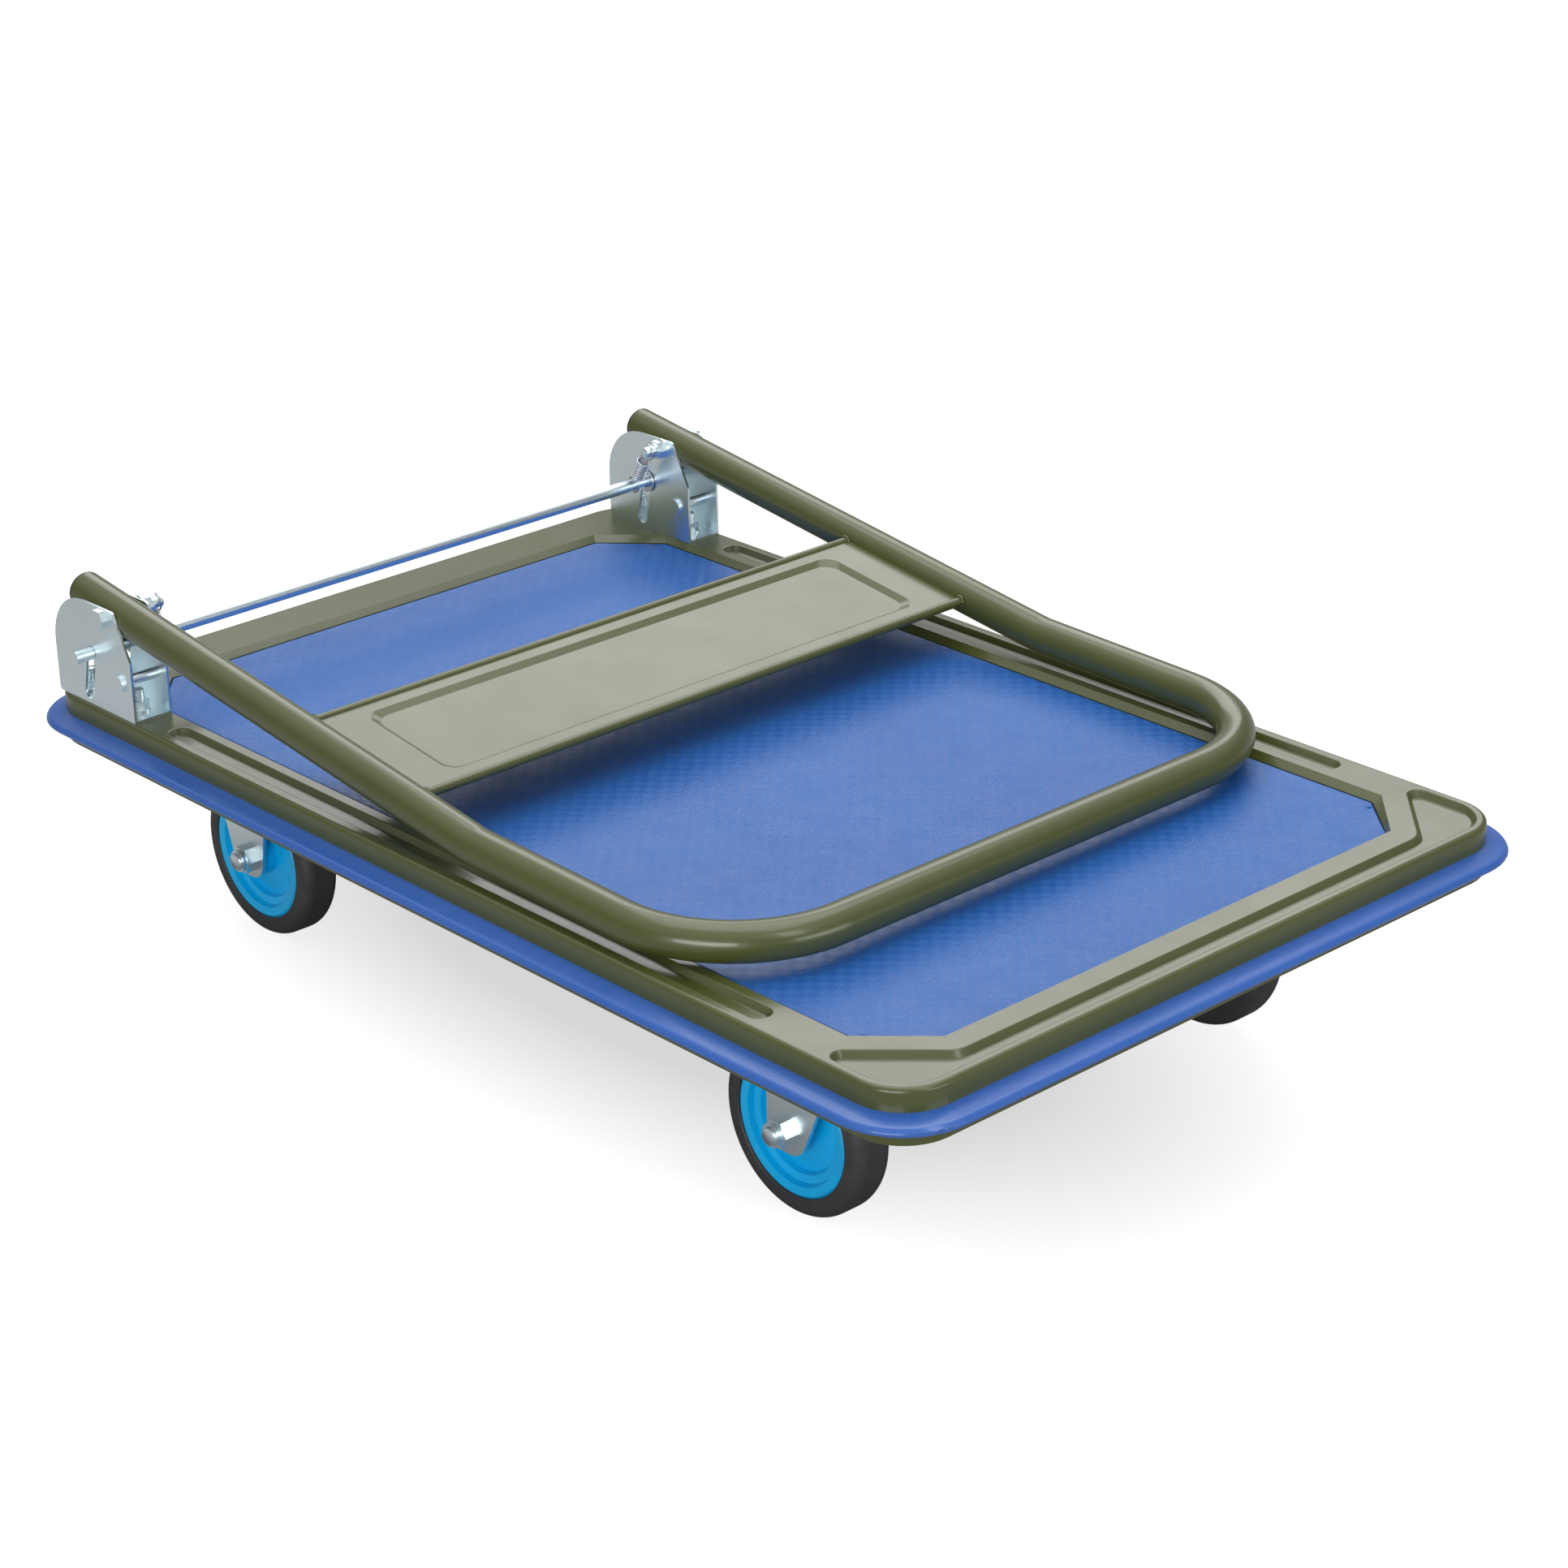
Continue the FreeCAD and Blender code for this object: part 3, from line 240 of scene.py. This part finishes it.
def tyre_rubber():
    """Dark grey rubber with a little dust and small nicks."""
    s = Shade("tyre_rubber")
    dust = s.remap(s.noise(38, 5, 0.65), 0.5, 0.8, 0, 0.5)
    tone = s.mix(dust, (0.032, 0.032, 0.034), (0.070, 0.068, 0.068))
    nicks = s.remap(s.noise(420, 3), 0.66, 0.8, 0, 0.5)
    tone = s.mix(nicks, tone, (0.10, 0.095, 0.09))
    rough = s.remap(s.noise(60, 4), 0.3, 0.7, 0.48, 0.66)
    s.bump(s.noise(900, 3, 0.6), 0.14, 0.0004)
    s.bump(s.noise(90, 2), 0.08, 0.001)
    return s.done(tone, rough)


def hub_plastic():
    """Bright blue moulded plastic."""
    s = Shade("hub_plastic")
    tone = s.mix(s.remap(s.noise(30, 3), 0.3, 0.7, 0, 1), (0.0, 0.40, 0.80), (0.0, 0.44, 0.86))
    smear = s.remap(s.noise(140, 4), 0.6, 0.8, 0, 0.25)
    tone = s.mix(smear, tone, (0.02, 0.55, 0.95))
    rough = s.remap(s.noise(80, 4), 0.3, 0.7, 0.26, 0.38)
    s.bump(s.noise(600, 2), 0.05, 0.0003)
    s.set(Coat_Weight=0.2, Coat_Roughness=0.12)
    return s.done(tone, rough)


def black_plastic():
    """Black moulded plastic of the tube's end caps."""
    s = Shade("black_plastic")
    tone = s.mix(s.remap(s.noise(60, 3), 0.3, 0.7, 0, 1), (0.012, 0.012, 0.012), (0.022, 0.022, 0.021))
    rough = s.remap(s.noise(200, 3), 0.3, 0.7, 0.38, 0.5)
    s.bump(s.noise(1200, 2), 0.1, 0.0002)
    return s.done(tone, rough)


MATERIALS = {
    "olive_paint": olive_paint(),
    "mat_vinyl": mat_vinyl(),
    "bumper_vinyl": bumper_vinyl(),
    "zinc_steel": zinc_steel(),
    "spring_steel": wire_steel("spring_steel", 0.5),
    "bearing_steel": wire_steel("bearing_steel", 0.38),
    "tyre_rubber": tyre_rubber(),
    "hub_plastic": hub_plastic(),
    "black_plastic": black_plastic(),
}
for part in frame["record"]["subparts"]:
    mesh = NODES[part["node"]].data
    mesh.materials.clear()
    mesh.materials.append(MATERIALS[part["material_slot"]])


# ---------------------------------------------------------------- mesh helpers

def piece(name, bm, slot, body=None):
    """A new object from bm, in the finish of slot, that rides on body if one is given."""
    mesh = bpy.data.meshes.new(name)
    bmesh.ops.recalc_face_normals(bm, faces=bm.faces)
    bm.to_mesh(mesh)
    bm.free()
    for face in mesh.polygons:
        face.use_smooth = True
    mesh.materials.append(MATERIALS[slot])
    obj = bpy.data.objects.new(name, mesh)
    SCENE.collection.objects.link(obj)
    if body:
        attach(obj, body)
    return obj


def skin(bm, rings):
    """Faces from ring to ring, and a cap at each end."""
    sides = len(rings[0])
    for a, b in zip(rings, rings[1:]):
        for k in range(sides):
            bm.faces.new((a[k], a[(k + 1) % sides], b[(k + 1) % sides], b[k]))
    bm.faces.new(rings[0])
    bm.faces.new(rings[-1])


def tube_along(bm, points, radius, sides):
    """A closed round tube through the points, with its ring turned as little as possible."""
    tangents = []
    for i in range(len(points)):
        a = points[max(i - 1, 0)]
        b = points[min(i + 1, len(points) - 1)]
        tangents.append((b - a).normalized())
    across = tangents[0].orthogonal().normalized()
    rings = []
    for point, tangent in zip(points, tangents):
        across = (across - tangent * across.dot(tangent)).normalized()
        other = tangent.cross(across)
        ring = []
        for k in range(sides):
            angle = 2 * math.pi * k / sides
            ring.append(bm.verts.new(point + (across * math.cos(angle) + other * math.sin(angle)) * radius))
        rings.append(ring)
    skin(bm, rings)


# ---------------------------------------------------------------- camera

CAMERA_AT = Vector((1.78263, -1.57787, 1.19516))
CAMERA_TURN = (47.78, 23.69, -1.15)
LENS = 85.965


def make_camera():
    """CAMERA_TURN is the azimuth, elevation and roll in degrees."""
    az, el, roll = (math.radians(a) for a in CAMERA_TURN)
    back = Vector((math.sin(az) * math.cos(el), -math.cos(az) * math.cos(el), math.sin(el)))
    right = Vector((math.cos(az), math.sin(az), 0))
    up = back.cross(right)
    rolled_right = right * math.cos(roll) + up * math.sin(roll)
    rolled_up = up * math.cos(roll) - right * math.sin(roll)
    data = bpy.data.cameras.new("camera")
    data.lens = LENS
    data.sensor_width = 36
    camera = bpy.data.objects.new("camera", data)
    turn = Matrix((rolled_right, rolled_up, back)).transposed()
    camera.matrix_world = Matrix.Translation(CAMERA_AT) @ turn.to_4x4()
    SCENE.collection.objects.link(camera)
    SCENE.camera = camera


make_camera()


# ---------------------------------------------------------------- mat

def outline_of(node):
    """The corners of a flat node's underside, in order round it."""
    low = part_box(node)[0]
    found = []
    for v in NODES[node].data.vertices:
        if v.co.z < low.z + 0.01 * MM and all((v.co - f).length > MM for f in found):
            found.append(v.co.copy())
    return sorted(found, key=lambda p: math.atan2(p.y, p.x))


def mat_sheet():
    """The vinyl mat: a fine sheet with a rounded edge that lies in the well and is not quite flat."""
    low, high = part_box("deck_mat")
    step = 6 * MM
    edge = 1.6 * MM
    corners = outline_of("deck_mat")
    runs = list(zip(corners, corners[1:] + corners[:1]))
    bm = bmesh.new()
    width, depth = high.x - low.x, high.y - low.y
    centre = (low + high) / 2
    bmesh.ops.create_grid(bm, x_segments=int(width / step), y_segments=int(depth / step), size=0.5)
    for v in bm.verts:
        v.co = Vector((centre.x + v.co.x * width, centre.y + v.co.y * depth, high.z))
    # cut the grid along each run that is askew, which is each corner
    for a, b in runs:
        run = b - a
        if min(abs(run.x), abs(run.y)) > 5 * MM:
            geometry = bm.verts[:] + bm.edges[:] + bm.faces[:]
            outwards = Vector((run.y, -run.x, 0)).normalized()
            bmesh.ops.bisect_plane(bm, geom=geometry, plane_co=a, plane_no=outwards, clear_outer=True)
    # the face lies between 0 and 0.8 mm under the flat one
    inside = [v for v in bm.verts if not v.is_boundary]
    for v in inside:
        wave = noise.noise(Vector((v.co.x * 9, v.co.y * 9, 3.1))) * 0.3
        fine = noise.noise(Vector((v.co.x * 40, v.co.y * 40, 7.7))) * 0.1
        v.co.z += (wave + fine - 0.4) * MM
    rim = [e for e in bm.edges if e.is_boundary]
    made = bmesh.ops.extrude_edge_only(bm, edges=rim)
    for v in [g for g in made["geom"] if isinstance(g, bmesh.types.BMVert)]:
        v.co.z = low.z + 0.05 * MM
    bmesh.ops.recalc_face_normals(bm, faces=bm.faces)
    tops = [e for e in rim if e.is_valid]
    bmesh.ops.bevel(bm, geom=tops, offset=edge, segments=3, profile=0.5, affect="EDGES")
    bottom = [e for e in bm.edges if e.is_boundary]
    bmesh.ops.contextual_create(bm, geom=bottom)
    obj = piece("mat_sheet", bm, "mat_vinyl", "base")
    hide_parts("deck_mat")


mat_sheet()


# ---------------------------------------------------------------- springs

def spring(tag):
    """Close wound extension spring hooked over the pivot bolt and round the lock rod."""
    name = "lock_spring_" + tag
    low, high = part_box(name)
    y = (low.y + high.y) / 2
    top = Vector((PIVOT_X, y, PIVOT_Z))
    end = Vector((ROD_X, y, ROD_Z))
    way = (end - top).normalized()
    span = (end - top).length
    wire, coil, eye = 0.75 * MM, 5.2 * MM, 6.1 * MM
    side_way = Vector((0, 1, 0))
    flat_way = way.cross(side_way)
    body_length = 17.0 * MM
    turns, per_turn = 10, 20
    start = (span - body_length) / 2
    points = []

    def arc(centre, radius, first, last, count, u, w):
        for i in range(count + 1):
            angle = first + (last - first) * i / count
            points.append(centre + u * math.cos(angle) * radius + w * math.sin(angle) * radius)

    arc(top, eye, math.radians(215), math.radians(-40), 30, way, flat_way)
    steps = turns * per_turn
    for i in range(steps + 1):
        angle = 2 * math.pi * i / per_turn
        along = start + body_length * i / steps
        points.append(top + way * along + (-flat_way * math.cos(angle) + side_way * math.sin(angle)) * coil)
    arc(end, eye, math.radians(140), math.radians(-135), 30, way, -flat_way)
    smooth = [points[0]]
    for p in points[1:]:
        if (p - smooth[-1]).length > 0.2 * MM:
            smooth.append(p)
    bm = bmesh.new()
    tube_along(bm, smooth, wire, 8)
    obj = piece("spring_wire_" + tag, bm, "spring_steel")
    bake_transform(obj)
    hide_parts(name)


for side_tag in SIDES:
    spring(side_tag)


# ---------------------------------------------------------------- threads and welds

def thread(name, start, axis, radius, length, pitch, body):
    """The threaded end of a bolt: a helical ridge and a chamfered tip."""
    axis = Vector(axis)
    across = axis.orthogonal().normalized()
    other = axis.cross(across)
    sides = 28
    rows = max(int(length / pitch * 8), 6)
    ridge = 0.32 * MM
    rings = []
    bm = bmesh.new()
    for i in range(rows + 1):
        along = length * i / rows
        ring = []
        for k in range(sides):
            turn = k / sides
            phase = (along / pitch - turn) % 1.0
            grow = 0.06 * MM + ridge * (1 - abs(2 * phase - 1))
            grow -= max(0, along - (length - 0.8 * MM)) * 0.9
            way = across * math.cos(2 * math.pi * turn) + other * math.sin(2 * math.pi * turn)
            ring.append(bm.verts.new(Vector(start) + axis * along + way * (radius + grow)))
        rings.append(ring)
    skin(bm, rings)
    piece(name, bm, "zinc_steel", body)


def threads():
    """Threads on the ends of the axles, the foot bolts and the pivot bolts."""
    past = 0.15 * MM
    for tag in WHEELS:
        low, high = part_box("axle_" + tag)
        nut_low, nut_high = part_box("axle_nut_" + tag)
        out = 1 if tag[1] == "l" else -1
        face = nut_high.y if out > 0 else nut_low.y
        tip = (high.y if out > 0 else low.y) + out * past
        middle = (low + high) / 2
        body = "base" if tag[0] == "f" else "swivel_" + tag
        thread("axle_thread_" + tag, (middle.x, face - out * MM, middle.z), (0, out, 0),
               M12, abs(tip - face) + MM, M12_PITCH, body)
    bolt_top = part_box("bracket_bolts")[1].z
    nut_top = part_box("bracket_nuts")[1].z
    for tag, side in SIDES.items():
        for i, x in enumerate(FOOT_BOLT_X):
            thread("foot_thread_" + tag + str(i), (x, FOOT_BOLT_Y * side, nut_top - MM), (0, 0, 1),
                   M8, bolt_top - nut_top + MM + past, M8_PITCH, "base")
        thread("pivot_thread_" + tag, (PIVOT_X, PIVOT_NUT_Y * side, PIVOT_Z), (0, -side, 0),
               M8, PIVOT_THREAD + past, M8_PITCH, "base")


threads()

# the panel's slope, the normal of it and its middle
SLOPE = Vector((0.4, 0, -0.0525)).normalized()
LIFT = Vector((-SLOPE.z, 0, SLOPE.x))
PANEL_CENTRE = Vector((-0.093, 0, 0.21719))
# half its width along the slope, half its length, and the height and radius of its rolled edge
PANEL_HALF, PANEL_END = 61.15 * MM, 246.4 * MM
ROLL_RISE, ROLL_RADIUS = 1.8 * MM, 3.7 * MM


def weld(name, centre, radius, side):
    """A lumpy bead run round the rolled edge of the panel where it meets the tube."""
    points = []
    lumps = 44
    for i in range(lumps + 1):
        angle = 2 * math.pi * i / lumps * 0.93
        wobble = noise.noise(Vector((i * 0.9, side * 5.0, centre.x * 300))) * 0.35 * MM
        way = SLOPE * math.cos(angle) + LIFT * math.sin(angle)
        points.append(centre + way * (radius + wobble * 0.5) + Vector((0, wobble, 0)))
    bm = bmesh.new()
    tube_along(bm, points, 1.25 * MM, 10)
    for v in bm.verts:
        v.co += v.co.normalized() * noise.noise(v.co * 900) * 0.25 * MM
    piece(name, bm, "olive_paint", "handle")


for side_tag, side in SIDES.items():
    for end_tag, end in (("a", -1), ("b", 1)):
        spot = PANEL_CENTRE + SLOPE * end * PANEL_HALF + LIFT * ROLL_RISE + Vector((0, side * PANEL_END, 0))
        weld("weld_" + side_tag + end_tag, spot, ROLL_RADIUS, side)


# ---------------------------------------------------------------- studio

def add_glow_and_painted_shadow(s):
    """Seen directly, the paper glows a little. The glow is weaker in a patch under the cart, which paints a
    soft shadow there, and so shadows on it stay pale as on a lit sweep. From below it is clear, so that the
    underside can be seen."""
    pale = s.node("ShaderNodeBsdfDiffuse")
    pale.inputs["Color"].default_value = (0.30, 0.30, 0.30, 1)
    glow = s.node("ShaderNodeEmission")
    both = s.node("ShaderNodeAddShader")
    s.link(pale.outputs[0], both.inputs[0])
    s.link(glow.outputs[0], both.inputs[1])
    apart = s.node("ShaderNodeSeparateXYZ")
    s.link(s.coords, apart.inputs[0])
    # distance from a point under the cart, with distances along the cart shortened; this sets the shape of
    # the painted shadow
    along = s.math("MULTIPLY", s.math("ADD", apart.outputs[0], 0.05), 0.42)
    across = apart.outputs[1]
    squares = s.math("ADD", s.math("MULTIPLY", along, along), s.math("MULTIPLY", across, across))
    reach = s.math("SQRT", squares, 0.0)
    # painted shadow: the glow is weak within near of that point and rises to full beyond far
    near, far, painted_shadow_glow, full = 0.13, 0.26, 0.62, 0.92
    s.link(s.remap(reach, near, far, painted_shadow_glow, full), glow.inputs["Strength"])
    pick = s.node("ShaderNodeMixShader")
    s.link(s.node("ShaderNodeLightPath").outputs["Is Camera Ray"], pick.inputs[0])
    s.link(s.bsdf.outputs[0], pick.inputs[1])
    s.link(both.outputs[0], pick.inputs[2])
    one_way = s.node("ShaderNodeMixShader")
    s.link(s.node("ShaderNodeNewGeometry").outputs["Backfacing"], one_way.inputs[0])
    s.link(pick.outputs[0], one_way.inputs[1])
    s.link(s.node("ShaderNodeBsdfTransparent").outputs[0], one_way.inputs[2])
    out = [n for n in s.tree.nodes if n.type == "OUTPUT_MATERIAL"][0]
    s.link(one_way.outputs[0], out.inputs["Surface"])


def floor():
    """A wide sheet of paper under the cart."""
    bm = bmesh.new()
    bmesh.ops.create_grid(bm, x_segments=1, y_segments=1, size=9)
    mesh = bpy.data.meshes.new("floor")
    bm.to_mesh(mesh)
    bm.free()
    s = Shade("floor_paper")
    tone = s.mix(s.noise(3, 2), (0.36, 0.36, 0.36), (0.38, 0.38, 0.375))
    s.set(Roughness=0.9, Specular_IOR_Level=0.0)
    lit = s.done(tone)
    add_glow_and_painted_shadow(s)
    mesh.materials.append(lit)
    obj = bpy.data.objects.new("floor", mesh)
    SCENE.collection.objects.link(obj)


def area_light(name, at, towards, size, power):
    """A rectangular lamp of so many watts at one point that faces another."""
    data = bpy.data.lights.new(name, "AREA")
    data.shape = "RECTANGLE"
    data.size, data.size_y = size
    data.energy = power
    obj = bpy.data.objects.new(name, data)
    obj.location = at
    obj.rotation_mode = "QUATERNION"
    obj.rotation_quaternion = (Vector(towards) - Vector(at)).to_track_quat("-Z", "Y")
    SCENE.collection.objects.link(obj)


def gradient(tree, target):
    """Light by height alone: mid grey below the horizon, dimmest a little above it, bright overhead."""
    where = tree.nodes.new("ShaderNodeTexCoord").outputs["Generated"]
    split = tree.nodes.new("ShaderNodeSeparateXYZ")
    tree.links.new(where, split.inputs[0])
    ramp = tree.nodes.new("ShaderNodeValToRGB")
    stops = ((0.0, 0.45), (0.50, 0.45), (0.56, 0.26), (0.68, 0.24), (0.86, 0.85), (1.0, 1.1))
    elements = ramp.color_ramp.elements
    while len(elements) < len(stops):
        elements.new(0.5)
    for element, (place, level) in zip(elements, stops):
        element.position = place
        element.color = (level, level * 1.005, level * 1.01, 1)
    half = tree.nodes.new("ShaderNodeMath")
    half.operation = "MULTIPLY_ADD"
    half.inputs[1].default_value = 0.5
    half.inputs[2].default_value = 0.5
    tree.links.new(split.outputs["Z"], half.inputs[0])
    tree.links.new(half.outputs[0], ramp.inputs["Fac"])
    tree.links.new(ramp.outputs["Color"], target)


def studio():
    """White where the camera sees past the cart, a gradient where light comes from, and five soft boxes."""
    SCENE.view_settings.view_transform = "Standard"
    world = bpy.data.worlds.new("studio")
    SCENE.world = world
    world.use_nodes = True
    tree = world.node_tree
    tree.nodes.clear()
    out = tree.nodes.new("ShaderNodeOutputWorld")
    seen = tree.nodes.new("ShaderNodeBackground")
    seen.inputs["Color"].default_value = (1, 1, 1, 1)
    seen.inputs["Strength"].default_value = 1.0
    lit = tree.nodes.new("ShaderNodeBackground")
    lit.inputs["Strength"].default_value = 1.0
    gradient(tree, lit.inputs["Color"])
    mix = tree.nodes.new("ShaderNodeMixShader")
    path = tree.nodes.new("ShaderNodeLightPath")
    tree.links.new(path.outputs["Is Camera Ray"], mix.inputs[0])
    tree.links.new(lit.outputs[0], mix.inputs[1])
    tree.links.new(seen.outputs[0], mix.inputs[2])
    tree.links.new(mix.outputs[0], out.inputs["Surface"])
    area_light("top_box", (-0.2, 0.3, 2.4), (0, 0, 0.15), (2.2, 2.2), 27)
    area_light("back_box", (-2.1, 2.05, 2.15), (0.1, 0, 0.15), (2.9, 1.45), 33)
    area_light("front_fill", (1.6, -2.8, 0.7), (0, 0, 0.08), (2.2, 0.9), 48)
    area_light("low_fill", (2.9, 0.5, 0.45), (0.3, 0, 0.12), (1.8, 0.7), 14)
    area_light("corner_box", (1.9, -0.2, 1.6), (0.3, -0.1, 0.15), (0.5, 0.9), 5)


floor()
studio()
